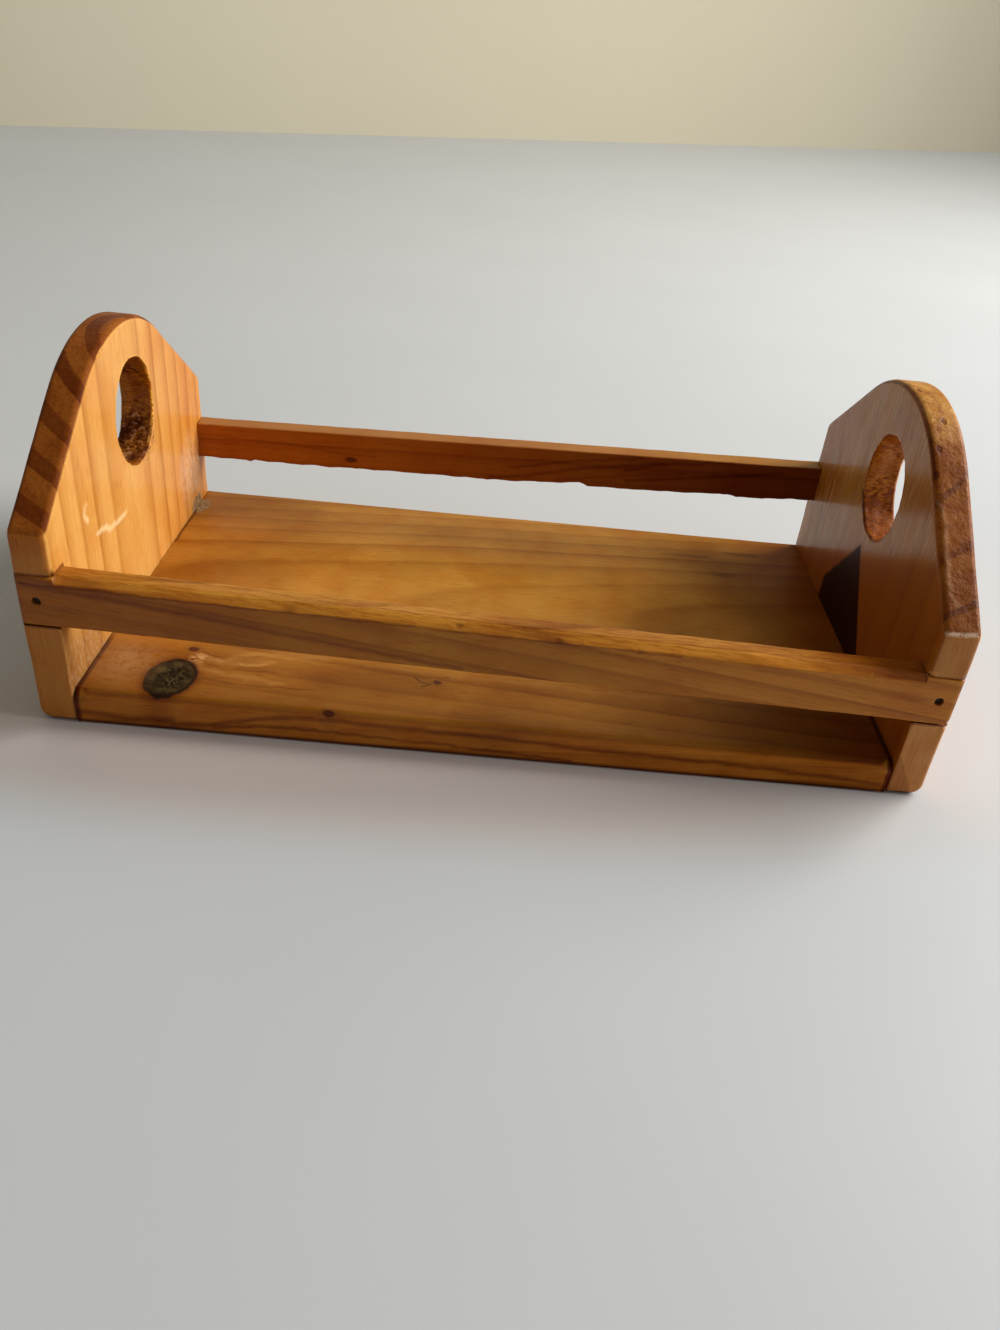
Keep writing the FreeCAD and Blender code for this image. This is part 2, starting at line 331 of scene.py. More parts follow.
    def varnish(self, roughness, coat, end_coat, coat_roughness, slant=0.05, streaks=0.6, bare=0.0):
        """Joins everything to the shader, under a coat that is thinner on end grain.

        There is no coat where bare is 1. The brush left streaks of this strength in it, at this slant to
        the grain, in radians.
        """
        brushed = self.noise(self.moved(self.log, turn=(slant, 0.0, 0.0), scale=(1.6, 1.6, 0.04)),
                             scale=1.0, detail=3.0, roughness=0.6)
        film = self.math("MULTIPLY_ADD", self.fade(brushed, 0.35, 0.65), streaks, 1.0 - streaks / 2.0)
        coat = self.both(self.math("MULTIPLY_ADD", self.cut, end_coat - coat, coat), film,
                         self.math("SUBTRACT", 1.0, bare))
        wood_bump = self.add("Bump", {"Height": self.relief, "Strength": 1.0, "Distance": 0.001})
        film_height = self.math("MULTIPLY_ADD", brushed, 0.03, self.math("MULTIPLY", self.relief, 0.3))
        film_bump = self.add("Bump", {"Height": film_height, "Strength": 1.0, "Distance": 0.001})
        self.put(self.colour, self.shader.inputs["Base Color"])
        self.put(wood_bump, self.shader.inputs["Normal"])
        self.put(coat, self.shader.inputs["Coat Weight"])
        self.put(film_bump, self.shader.inputs["Coat Normal"])
        self.shader.inputs["Roughness"].default_value = roughness
        self.shader.inputs["Specular IOR Level"].default_value = 0.05
        self.shader.inputs["Coat Roughness"].default_value = coat_roughness
        return self.material


def end_panel(node, wood, hole_y, hole_z, hole_tint, seed):
    """The panel's worn body, chipped round the hand hole. The hole's wall is painted rough and dark.

    hole_y and hole_z are the middle of the hole in millimetres.
    """
    low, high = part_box(node)
    y, z = hole_y / 1000.0, hole_z / 1000.0
    reach, step = 0.022, 0.0014
    around = (Vector((low[0], y - reach, z - reach)), Vector((high[0], y + reach, z + reach)),
              (step, step, step))
    body = worn_copy(node, spacing=0.004, depth=0.0003, patch=0.03, seed=seed,
                     seats=("front_rail", "back_rail", "bottom_board"), fine=(around,))
    rim_radius, rim_width, chips_end, chip_depth = 0.0192, 0.0030, 0.0235, 0.0006
    large_chips, small_chips = 260.0, 700.0
    for vertex in body.verts:
        across = Vector((0.0, vertex.co.y - y, vertex.co.z - z))
        if across.length < chips_end:
            chips = noise.noise(vertex.co * large_chips + Vector((seed, 0.0, 0.0)))
            chips += 0.6 * noise.noise(vertex.co * small_chips)
            rim = max(0.0, 1.0 - abs(across.length - rim_radius) / rim_width)
            vertex.co += across.normalized() * chip_depth * rim * max(-0.3, chips)
    away_y = wood.math("POWER", wood.math("SUBTRACT", wood.y, hole_y), 2.0)
    away_z = wood.math("POWER", wood.math("SUBTRACT", wood.z, hole_z), 2.0)
    outside, inside = 20.6, 19.4
    wall = wood.fade(wood.math("SQRT", wood.math("ADD", away_y, away_z)), outside, inside)
    bore_marks = wood.moved(wood.place, turn=(0.0, 0.7, 0.0), scale=(0.35, 1.0, 1.4))
    rough = wood.noise(bore_marks, scale=1.2, detail=4.0, roughness=0.7)
    wood.tint(hole_tint, wall)
    torn = wood.both(wall, wood.fade(wood.z, hole_z + 14.0, hole_z - 2.0))
    wood.tint((0.62, 0.50, 0.38), torn, wood.fade(rough, 0.42, 0.6))
    wood.raise_by(0.6, torn, rough)
    # Painted contact shade along the foot of the front face, where it meets the table.
    wood.tint((0.45, 0.32, 0.22), wood.towards((0.0, -1.0, 0.0)), wood.fade(wood.z, 1.8, 0.6))
    return body


def dried_glue(wood, x):
    """A ragged dab of pale glue with dark curls in the back left corner of the tray. Returns its relief."""
    dab = wood.patch((x, 66.0, 13.0), (4.0, 8.5, 5.0), outer=1.1, inner=0.7, wobble=1.4)
    curls = wood.noise(wood.place, scale=0.45, detail=3.0, roughness=0.6, distortion=1.5)
    wood.stain((0.40, 0.27, 0.14), dab, 0.75)
    wood.stain((0.12, 0.06, 0.02), dab, wood.fade(curls, 0.50, 0.56), 0.85)
    return wood.both(dab, curls)


# The left one is bright honey, with dark red-brown rings in its sawn edges. It has a flecked patch low in
# the hand hole, two pale scratches, a rough patch towards the back and dried glue in the corner.
(left_outer, panel_front, _), (left_inner, _, _) = box_mm("left_end_panel")
left_wood = Pine("left_panel_pine", pith=(-117.5, -8.0, 0.0), turn=(0.0, 0.0, 0.0), ring=11.6, phase=-4.0,
                 sway=1.5, seed=3.0)
left_wood.saw_along(early=(0.80, 0.40, 0.100), late=(0.54, 0.215, 0.032))
left_wood.mottle(28.0, (0.94, 0.84, 0.68))
# Painted shade: the whole panel darkens towards the back.
left_wood.tint((0.90, 0.73, 0.50), left_wood.fade(left_wood.y, -5.0, 75.0))
left_front = left_wood.towards((0.0, -1.0, 0.0))
left_wood.tint((0.63, 0.46, 0.30), left_front)
left_wood.tint((0.88, 0.70, 0.42), left_front, left_wood.fade(left_wood.z, 60.0, 67.0))
left_wood.saw_across(early=(0.30, 0.082, 0.008), late=(0.13, 0.023, 0.001), band=0.62)
left_wood.mottle(9.0, (0.82, 0.72, 0.60), left_wood.cut)
left_wood.dust((0.90, 0.84, 0.76))
left_body = end_panel("left_end_panel", left_wood, hole_y=3.0, hole_z=79.5, hole_tint=(1.35, 1.65, 1.05),
                      seed=3.0)

left_inside = left_wood.towards((1.0, 0.0, 0.0))
flecked = left_wood.patch((-146.0, 12.0, 66.0), (8.0, 15.0, 11.0), outer=1.15, inner=0.7, wobble=0.8)
flecks = left_wood.noise(left_wood.place, scale=0.5, detail=4.0, roughness=0.7)
left_wood.tint((0.35, 0.25, 0.30), flecked, left_wood.fade(flecks, 0.56, 0.44))
left_wood.stain((0.62, 0.40, 0.26), flecked, left_wood.fade(flecks, 0.55, 0.68), 0.45)
for scratch in (((-50.7, 65.9), (-54.0, 63.6), (-51.5, 60.5)),
                ((-18.4, 47.7), (-33.7, 49.2), (-36.9, 51.5), (-45.3, 52.5))):
    line = left_wood.trail([(left_inner, y, z) for y, z in scratch], width=3.6, wobble=1.6)
    left_wood.stain((0.95, 0.68, 0.34), line, left_inside, 0.75)
scuffed = left_wood.patch((left_inner, 60.0, 33.0), (6.0, 17.0, 18.0), outer=1.15, inner=0.4, wobble=1.2)
scuffs = left_wood.noise(left_wood.moved(left_wood.place, scale=(1.0, 1.0, 0.35)), scale=0.8, detail=4.0,
                         roughness=0.7)
left_wood.stain((0.74, 0.50, 0.30), scuffed, left_wood.fade(scuffs, 0.40, 0.60), 0.55)
# Painted shade low on the inner face, under and behind the front rail, with scuffs in it.
low_front_shade_and_scuffs = left_wood.both(left_inside, left_wood.fade(left_wood.z, 42.0, 20.0),
                          left_wood.fade(left_wood.y, -38.0, -62.0))
left_wood.tint((0.56, 0.50, 0.46), low_front_shade_and_scuffs)
left_wood.stain((0.66, 0.42, 0.24), low_front_shade_and_scuffs, left_wood.fade(scuffs, 0.45, 0.65), 0.35)
left_wood.raise_by(0.8, dried_glue(left_wood, left_inner))
for z in (56.3, 37.6):
    joint = left_wood.trail([(left_outer, panel_front, z), (left_inner, panel_front, z),
                             (left_inner, panel_front + 9.0, z)], width=2.2, wobble=0.3)
    left_wood.tint((0.25, 0.09, 0.06), joint, 0.85)
left_arris = left_wood.fade(left_wood.dot(left_wood.normal, (0.707, -0.428, 0.563)), 0.82, 0.95)
finished(left_body, "left_end_panel",
         left_wood.varnish(roughness=0.45, coat=0.30, end_coat=0.04, coat_roughness=0.2, bare=left_arris))

# The right one is browner. Its inner face is glossy and brushed, with a painted reflection of the floor and
# pale painted glints along the brush marks up high, and a dark patch that runs down from under the hand
# hole to the board. Its sawn edge is ridged and pitted, with painted highlights on the ridges and along the
# shoulder above the front rail.
(right_inner, _, _), (right_outer, _, _) = box_mm("right_end_panel")
right_wood = Pine("right_panel_pine", pith=(120.0, -9.0, 0.0), turn=(0.0, 0.0, 0.0), ring=15.2, phase=-2.2,
                  sway=1.5, seed=11.0)
right_wood.saw_along(early=(0.60, 0.26, 0.066), late=(0.48, 0.19, 0.042))
right_wood.mottle(28.0, (0.90, 0.74, 0.52))
right_inside = right_wood.towards((-1.0, 0.0, 0.0))
right_wood.tint((0.52, 0.33, 0.07), right_inside)
right_wood.saw_across(early=(0.34, 0.105, 0.011), late=(0.20, 0.050, 0.004), band=0.90)
right_wood.mottle(7.0, (0.78, 0.64, 0.46), right_wood.cut)
right_dents = right_wood.noise(right_wood.place, scale=0.2, detail=3.0, roughness=0.5)
right_wood.raise_by(0.9, right_wood.cut, right_dents)
right_wood.tint((1.75, 2.65, 5.0), right_wood.cut, right_wood.fade(right_wood.z, 105.0, 111.0))
right_wood.tint((0.80, 0.76, 0.62), right_wood.cut, right_wood.fade(right_wood.z, 88.0, 70.0))
right_wood.tint((0.84, 0.76, 0.64), right_wood.towards((0.0, -1.0, 0.0)),
                right_wood.fade(right_wood.z, 44.0, 50.0))
right_lean = right_wood.dot(right_wood.normal, (-1.0, 0.0, 0.0))
# Painted reflection: above the line where the board's back edge is mirrored, the inner face is painted
# paler and greyer, like the bright floor reflected in the gloss, with pale painted glints along the brush
# marks.
above_reflected_board_edge = right_wood.fade(right_wood.math("MULTIPLY_ADD", right_wood.y, 0.46, right_wood.z), 46.0, 58.0)
painted_floor_reflection = right_wood.both(right_wood.fade(right_lean, 0.93, 0.99), above_reflected_board_edge)
right_wood.tint((1.35, 2.2, 2.4), painted_floor_reflection)
brush_slant = -0.28
brushed = right_wood.moved(right_wood.log, turn=(brush_slant, 0.0, 0.0), scale=(1.8, 1.8, 0.05))
brush_mark_glints = right_wood.fade(right_wood.noise(brushed, scale=1.0, detail=3.0, roughness=0.6), 0.50, 0.66)
right_wood.stain((0.74, 0.50, 0.30), painted_floor_reflection, brush_mark_glints, 0.6)
off_hole = right_wood.fade(right_wood.oval((146.0, 0.5, 77.5), (30.0, 21.5, 21.5)), 1.0, 1.05)
right_arris = right_wood.both(right_wood.fade(right_lean, 0.45, 0.65),
                              right_wood.fade(right_lean, 0.97, 0.88),
                              right_wood.fade(right_wood.z, 94.0, 102.0), off_hole)
right_wood.tint((0.34, 0.20, 0.12), right_arris, 0.85)
right_wood.dust((0.88, 0.80, 0.70))
right_body = end_panel("right_end_panel", right_wood, hole_y=0.5, hole_z=77.5, hole_tint=(1.35, 1.25, 0.50),
                       seed=11.0)

# The dark patch starts at a sloped line and ends in a ragged one near the back. Under the hole is a
# crescent of painted shadow.
stain_line = right_wood.math("MULTIPLY_ADD", right_wood.math("SUBTRACT", right_wood.z, 19.2), 0.844, -23.1)
past_line = right_wood.fade(right_wood.math("SUBTRACT", right_wood.y, stain_line), -0.8, 0.8)
ragged = right_wood.math("MULTIPLY_ADD", right_wood.noise(right_wood.place, scale=0.12, detail=3.0), 6.0,
                         right_wood.math("ADD", right_wood.y, right_wood.z))
blot = right_wood.both(right_inside, past_line, right_wood.fade(ragged, 61.5, 59.0),
                       right_wood.fade(right_wood.y, 37.0, 33.0))
right_wood.tint((0.05, 0.01, 0.02), blot, 0.97)
# Painted shadow on the rim under the hand hole.
under_hole = ((19.6, 68.5), (15.0, 63.6), (7.0, 60.0), (0.0, 58.9))
painted_rim_shadow = right_wood.trail([(right_inner, y, z) for y, z in under_hole], width=2.6, wobble=0.4)
right_wood.tint((0.08, 0.03, 0.04), painted_rim_shadow, 0.9)

# Pits, ridges that the sanding left along the sawn edge, with a pale painted highlight on each ridge, and
# the marks where its facets meet.
for pit in ((146.2, -18.4, 111.1), (142.6, 1.7, 114.9), (142.5, -30.3, 105.3), (140.8, -38.2, 99.5)):
    hollow = right_wood.patch(pit, (1.2, 2.4, 2.4), outer=1.0, inner=0.4, wobble=1.6)
    right_wood.tint((0.42, 0.24, 0.10), hollow, 0.85)
    right_wood.raise_by(-0.3, hollow)
for points in (((140.0, -45.9, 94.0), (141.9, -48.2, 92.2), (143.3, -53.1, 88.5), (142.3, -62.4, 81.4)),
               ((142.4, -63.3, 80.7), (142.2, -67.8, 77.3), (143.2, -73.1, 73.3), (144.4, -76.2, 70.9)),
               ((150.6, -38.8, 99.3), (152.5, -39.2, 99.1))):
    ridge_and_highlight = right_wood.trail(points, width=2.8, wobble=1.6)
    right_wood.stain((0.55, 0.31, 0.15), ridge_and_highlight, 0.28)
    right_wood.raise_by(0.06, ridge_and_highlight)
for points in (((139.7, -45.3, 94.4), (143.0, -44.0, 95.4), (147.5, -41.4, 97.4), (152.1, -37.8, 100.1)),
               ((142.4, -63.0, 81.0), (147.1, -60.8, 82.6), (151.8, -59.3, 83.8)),
               ((139.7, -78.8, 69.0), (146.4, -76.3, 70.9), (151.8, -73.7, 72.8))):
    facet = right_wood.trail(points, width=1.4, wobble=0.8)
    right_wood.tint((0.52, 0.34, 0.20), facet, 0.5)
# A painted highlight along the front shoulder's arris: a reddish band with pale glints in it.
painted_arris_highlight = right_wood.trail(((140.5, -83.4, 64.9), (152.5, -83.4, 65.2)), width=2.8, wobble=0.6)
glints = right_wood.noise(right_wood.place, scale=0.55, detail=3.0, roughness=0.6)
right_wood.tint((0.85, 0.42, 0.30), painted_arris_highlight, 0.6)
right_wood.stain((0.95, 0.66, 0.44), painted_arris_highlight, right_wood.fade(glints, 0.36, 0.56), 0.85)
for z in (48.8, 30.2):
    joint = right_wood.trail([(right_outer, panel_front, z), (right_inner, panel_front, z),
                              (right_inner, panel_front + 9.0, z)], width=1.8, wobble=0.3)
    right_wood.tint((0.30, 0.12, 0.08), joint, 0.7)
foot_line = right_wood.math("MULTIPLY_ADD", right_wood.z, 0.49, right_wood.x)
foot = right_wood.both(right_wood.towards((0.0, -1.0, 0.0)), right_wood.fade(right_wood.z, 17.0, 15.5),
                       right_wood.fade(foot_line, 149.3, 148.3))
right_wood.tint((0.70, 0.62, 0.40), foot, 0.8)
finished(right_body, "right_end_panel",
         right_wood.varnish(roughness=0.42, coat=0.39, end_coat=0.10, coat_roughness=0.08,
                            slant=brush_slant, streaks=1.0, bare=right_wood.both(blot, 0.9)))


# Bottom board. One flat-sawn piece of half-inch pine with its grain along the tote, butted between the
# panels, nailed through them and varnished like them. It has one large dead knot and three small ones.
board_top = box_mm("bottom_board")[1][2]
large_knot = (-110.7, -70.6, board_top)
small_knots = (((-107.9, -51.7, board_top), (2.2, 1.8, 30.0)),
               ((-18.8, -59.2, board_top), (1.8, 1.5, 30.0)),
               ((-53.6, -82.4, 12.4), (2.4, 1.3, 30.0)))
board_wood = Pine("board_pine", pith=(0.0, -5.0, -91.3), turn=(0.0, math.radians(-86.85), 0.0), ring=5.5,
                  phase=1.8, sway=2.0, seed=5.0, knots=((large_knot, (11.0, 9.0, 40.0)), *small_knots))
board_wood.saw_along(early=(0.56, 0.25, 0.034), late=(0.37, 0.135, 0.012))
board_wood.mottle(45.0, (0.82, 0.78, 0.64))
board_wood.mottle(16.0, (0.96, 0.86, 0.66))
board_wood.saw_across(early=(0.36, 0.13, 0.03), late=(0.16, 0.04, 0.005), band=0.62)
board_wood.dust((0.90, 0.84, 0.74))
board_upper = board_wood.towards((0.0, 0.0, 1.0))
# Painted shade on the top: the right panel's shadow over the right part, deepest next to it, and the front
# rail's shadow behind the rail. The top is also darker towards the left end.
for along, start, end, shade in ((board_wood.x, 20.0, 150.0, (0.66, 0.58, 0.36)),
                                 (board_wood.x, 100.0, 139.0, (0.75, 0.52, 0.30)),
                                 (board_wood.x, -70.0, -120.0, (0.80, 0.72, 0.62)),
                                 (board_wood.y, -38.0, -60.0, (0.62, 0.53, 0.36))):
    board_wood.tint(shade, board_upper, board_wood.fade(along, start, end))
board_wood.tint((0.76, 0.72, 0.64), board_upper,
                board_wood.patch((-40.0, -62.0, board_top), (36.0, 12.0, 10.0), outer=1.1, inner=0.4))
board_front = board_wood.towards((0.0, -1.0, 0.0))
board_wood.tint((0.90, 0.66, 0.42), board_front)
# Painted contact shade along the foot of the front face, where it meets the table.
board_wood.tint((0.20, 0.09, 0.06), board_front, board_wood.fade(board_wood.z, 2.4, 0.8))
for points, width in (
        (((-139.0, 4.5), (-122.0, 3.5), (-107.0, 4.5)), 5.0),
        (((-107.0, 2.2), (-92.6, 3.9), (-76.0, 8.3), (-64.4, 10.0), (-49.5, 10.0), (-23.3, 9.3),
          (5.0, 8.8), (39.4, 7.4), (80.8, 6.9), (136.6, 3.9)), 3.6),
        (((-92.6, 2.5), (-79.3, 4.6), (-64.3, 5.4), (-41.8, 4.8), (-13.5, 4.0), (30.0, 2.0)), 2.4)):
    band = board_wood.trail([(x, panel_front, z) for x, z in points], width, wobble=1.0)
    board_wood.tint((0.42, 0.27, 0.20), band, 0.8)
gap_edge = board_wood.both(board_wood.fade(board_wood.math("ABSOLUTE", board_wood.x), 137.2, 138.5),
                           board_wood.fade(board_wood.y, -40.0, -55.0))
board_wood.tint((0.30, 0.10, 0.08), gap_edge)

# The large knot is grey and cracked, with a black ring, and stands a hair below the board.
knot = board_wood.oval(large_knot, (11.6, 8.5, 40.0), turn=(0.0, 0.0, math.radians(86.0)), wobble=0.16)
board_wood.tint((0.55, 0.36, 0.24), board_wood.fade(knot, 1.4, 1.0), 0.8)
dead = board_wood.fade(knot, 1.02, 0.95)
rotten = board_wood.noise(board_wood.place, scale=0.24, detail=6.0, roughness=0.75)
dead_colour = board_wood.mix(board_wood.fade(rotten, 0.40, 0.62), (0.020, 0.012, 0.004),
                             (0.082, 0.055, 0.019))
board_wood.stain(dead_colour, dead)
ring = board_wood.both(board_wood.fade(knot, 0.74, 0.95), board_wood.fade(knot, 1.07, 1.0))
board_wood.stain((0.018, 0.006, 0.003), ring, 0.9)
checks = board_wood.noise(board_wood.moved(board_wood.place, turn=(0.0, 0.0, 0.6), scale=(1.0, 0.6, 0.0)),
                          scale=0.3, detail=3.0, roughness=0.6, distortion=1.5)
checks = board_wood.fade(board_wood.math("ABSOLUTE", board_wood.math("SUBTRACT", checks, 0.5)), 0.06, 0.02)
checks = board_wood.both(checks, board_wood.fade(knot, 0.75, 0.35))
board_wood.stain((0.008, 0.006, 0.004), checks)
board_wood.raise_by(-0.25, dead)
board_wood.raise_by(-1.0, checks)
board_wood.raise_by(0.5, dead, rotten)

# The small knots, and the pale worn streaks, dark lines and short cracks in the grain round all of them.
for centre, (width, depth, _) in small_knots:
    spot = board_wood.oval(centre, (width, depth, 4.0), wobble=0.9)
    board_wood.stain((0.20, 0.06, 0.01), board_wood.fade(spot, 2.2, 1.2), 0.4)
    board_wood.stain((0.07, 0.012, 0.004), board_wood.fade(spot, 1.0, 0.7), 0.9)
for points, width, strength in (
        (((-103.6, -55.6), (-96.7, -58.2), (-88.6, -58.2), (-78.0, -56.0)), 4.6, 0.30),
        (((-89.0, -58.3), (-80.0, -57.2)), 2.4, 0.45),
        (((-98.0, -57.5), (-85.0, -51.5), (-60.0, -50.0)), 6.0, 0.30),
        (((-104.0, -57.0), (-101.4, -63.6), (-90.7, -65.9), (-72.0, -69.0)), 4.4, 0.25),
        (((-88.5, -83.6), (-79.0, -83.4)), 1.8, 0.5),
        (((-45.0, -52.0), (-8.0, -54.0), (40.0, -56.0), (90.0, -55.0)), 4.0, 0.12)):
    pale = board_wood.trail([(x, y, board_top) for x, y in points], width, wobble=2.6)
    board_wood.stain((0.62, 0.30, 0.075), pale, strength)
for points in (((-104.0, -53.5), (-97.0, -55.5), (-84.0, -53.0)),
               ((-101.0, -60.5), (-92.0, -62.0), (-76.0, -62.5)),
               ((-99.5, -69.0), (-88.0, -71.5), (-60.0, -71.0))):
    dark = board_wood.trail([(x, y, board_top) for x, y in points], width=2.0, wobble=1.6)
    board_wood.tint((0.55, 0.36, 0.22), dark, 0.6)
for points in (((-27.0, -57.5), (-24.5, -59.5), (-22.0, -60.5)), ((-18.5, -57.0), (-15.0, -55.5)),
               ((-24.0, -62.5), (-21.0, -60.5))):
    crack = board_wood.trail([(x, y, board_top) for x, y in points], width=1.3, wobble=0.8)
    board_wood.stain((0.05, 0.015, 0.005), crack, 0.8)

# Scuffs at the left end, a torn patch by the knots, glue and a dark gap along the left panel, and smudges.
scuffed_end = board_wood.patch((-129.0, -62.0, board_top), (16.0, 20.0, 20.0), outer=1.2, inner=0.1,
                               wobble=1.4)
end_scuffs = board_wood.noise(board_wood.place, scale=0.35, detail=5.0, roughness=0.7)
board_wood.stain((0.62, 0.38, 0.18), scuffed_end, board_wood.fade(end_scuffs, 0.30, 0.68), 0.36)
torn_patch = board_wood.patch((-104.0, -57.5, board_top), (4.5, 4.0, 4.0), outer=1.2, inner=0.4, wobble=1.4)
torn_fibres = board_wood.noise(board_wood.place, scale=0.7, detail=3.0, roughness=0.6)
board_wood.stain((0.74, 0.44, 0.19), torn_patch, board_wood.fade(torn_fibres, 0.45, 0.60), 0.55)
dried_glue(board_wood, -138.5)
left_gap = board_wood.trail([(-139.0, y, board_top) for y in (62.0, 48.0, 30.0)], width=2.0, wobble=1.0)
board_wood.tint((0.25, 0.12, 0.06), left_gap, 0.85)
for x, y, length, width in ((111.0, 67.0, 9.0, 2.2), (86.0, 61.0, 12.0, 2.0), (99.0, 45.0, 8.0, 2.2)):
    smudge = board_wood.patch((x, y, board_top), (length, width, 20.0), outer=1.2, inner=0.5, wobble=1.4)
    board_wood.tint((0.45, 0.36, 0.30), smudge, 0.6)
worn_right = board_wood.both(board_wood.fade(board_wood.x, 20.0, 100.0), 0.8)
bare_board = board_wood.math("MAXIMUM", dead, worn_right)

# The front top arris is worn round, and towards the back both ends close the joint with the panels.
arris_low, arris_high = Vector((-0.139, -0.0842, 0.0075)), Vector((0.139, -0.078, 0.0128))
arris = (arris_low, arris_high, (0.006, 0.0006, 0.0006))
board_body = worn_copy("bottom_board", spacing=0.005, depth=0.0002, patch=0.04, seed=5.0,
                       seats=("left_end_panel", "right_end_panel"), fine=(arris,))
arris_round = 0.0042
end_face, end_reach, closed_start, closed_length = 0.1386, 0.0004, -0.055, 0.02
for vertex in board_body.verts:
    out = panel_front / 1000.0 + arris_round - vertex.co.y
    up = vertex.co.z - board_top / 1000.0 + arris_round
    if out > 0.0 and up > 0.0 and math.hypot(out, up) > arris_round:
        pull = 1.0 - arris_round / math.hypot(out, up)
        vertex.co.y += out * pull
        vertex.co.z -= up * pull
    if abs(vertex.co.x) > end_face:
        share = max(0.0, min(1.0, (vertex.co.y - closed_start) / closed_length))
        vertex.co.x += math.copysign(end_reach, vertex.co.x) * share
finished(board_body, "bottom_board",
         board_wood.varnish(roughness=0.45, coat=0.24, end_coat=0.10, coat_roughness=0.2, bare=bare_board))


# Front rail. A thin strip of pine let into notches in the panels' front edges, with one nail at each end.
# Its top has a bevel cut by hand, stopped short of the ends, with painted shade along both edges of the
# bevel.
front_wood = Pine("front_rail_pine", pith=(0.0, -60.0, 10.0), turn=(0.0, math.radians(-97.3), 0.0),
                  ring=6.0, phase=0.0, sway=1.0, seed=8.0)
front_wood.saw_along(early=(0.55, 0.235, 0.030), late=(0.36, 0.13, 0.011))
front_wood.mottle(30.0, (0.88, 0.76, 0.60))
front_wood.saw_across(early=(0.45, 0.17, 0.03), late=(0.22, 0.06, 0.008), band=0.62)
front_wood.dust((0.88, 0.80, 0.68))
front_face = front_wood.towards((0.0, -1.0, 0.0))
front_wood.tint((0.88, 0.75, 0.54), front_face)
# The bevel is painted lighter, partly wear and partly painted light, so that it looks as lit as the top.
bevel = front_wood.fade(front_wood.dot(front_wood.normal, (0.0, -0.64, 0.77)), 0.93, 0.985)
front_wood.tint((1.35, 1.40, 1.20), bevel, 0.9)
front_wood.tint((1.18, 1.16, 1.25), front_wood.fade(front_wood.x, -10.0, 90.0))
front_wood.tint((0.85, 0.75, 0.62), front_face, front_wood.fade(front_wood.x, -10.0, -100.0))
front_top = front_wood.towards((0.0, 0.0, 1.0))
# Painted shade: the right end of the top lies in the right panel's shadow.
front_wood.tint((0.62, 0.42, 0.12), front_top, front_wood.fade(front_wood.x, 84.0, 122.0))
front_wood.tint((0.78, 0.72, 0.60), front_top,
                front_wood.patch((32.0, -79.0, 51.0), (50.0, 12.0, 8.0), outer=1.0, inner=0.3))
front_streaks = front_wood.noise(front_wood.moved(front_wood.log, scale=(1.0, 1.0, 0.07)), scale=1.1,
                                 detail=3.0, roughness=0.6)
front_wood.tint((0.80, 0.68, 0.46), front_top, front_wood.fade(front_streaks, 0.45, 0.62))
# The first line is painted shade under the bevel's lower edge; the others are dark grain.
for points, width, strength in (
        (((-151.0, 53.2), (-94.0, 51.7), (-20.0, 49.8), (60.0, 47.9)), 1.8, 0.6),
        (((-150.0, 53.0), (-110.0, 48.4), (-57.0, 41.5), (-10.0, 35.6)), 3.2, 0.6),
        (((60.0, 47.0), (100.0, 44.5), (140.0, 39.5)), 3.0, 0.3),
        (((-148.0, 45.3), (-145.3, 43.6)), 1.2, 0.8)):
    line = front_wood.trail([(x, panel_front, z) for x, z in points], width, wobble=1.0)
    front_wood.tint((0.45, 0.27, 0.16), line, strength)
# Painted shade along the top edge of the bevel.
bevel_top_shade = ((-138.0, -77.0, 55.6), (-92.0, -76.5, 54.5), (-54.0, -79.0, 53.6), (-4.0, -80.5, 52.4),
            (60.0, -80.8, 50.8), (110.0, -79.5, 49.5))
front_wood.tint((0.45, 0.27, 0.16), front_wood.trail(bevel_top_shade, width=1.4, wobble=1.0), 0.6)
for x, z in ((20.0, 49.3), (46.8, 48.2), (-12.0, 51.0)):
    dent = front_wood.patch((x, -83.0, z), (2.2, 2.0, 0.8), outer=1.1, inner=0.3, wobble=1.6)
    front_wood.tint((0.5, 0.32, 0.2), dent, 0.45)
    front_wood.raise_by(-0.3, dent)
front_body = worn_copy("front_rail", spacing=0.0025, depth=0.0003, patch=0.012, seed=8.0,
                       seats=("left_end_panel", "right_end_panel"))
finished(front_body, "front_rail",
         front_wood.varnish(roughness=0.42, coat=0.35, end_coat=0.15, coat_roughness=0.2))


# Back rail. A thinner strip of the same, with dark grain, a small knot, and a lower edge that tore when it
# was sawn. torn_edge says how many millimetres that edge hangs below a straight one, from left to right.
torn_edge = ((-139.0, 0.0), (-118.5, 0.5), (-117.0, 1.3), (-115.5, 0.2), (-94.0, 0.9), (-48.0, 0.8),
             (-3.0, 1.4), (18.0, 0.7), (34.0, -0.4), (36.5, 1.1), (70.0, 1.1), (102.0, 0.2), (105.0, 1.3),
             (139.0, 0.1))
back_face = box_mm("back_rail")[0][1]
back_knot = (-70.9, back_face, 38.3)
back_wood = Pine("back_rail_pine", pith=(0.0, 92.0, 16.0), turn=(0.0, math.radians(-88.6), 0.0), ring=7.0,
                 phase=0.0, sway=1.0, seed=9.0, knots=((back_knot, (2.2, 30.0, 1.2)),))
back_wood.saw_along(early=(0.42, 0.16, 0.030), late=(0.30, 0.095, 0.014))
back_wood.mottle(35.0, (0.88, 0.74, 0.56))
back_wood.saw_across(early=(0.45, 0.17, 0.03), late=(0.22, 0.06, 0.008), band=0.62)
back_wood.dust((0.88, 0.80, 0.68))
back_front = back_wood.towards((0.0, -1.0, 0.0))
back_wood.tint((1.05, 0.80, 0.32), back_front)
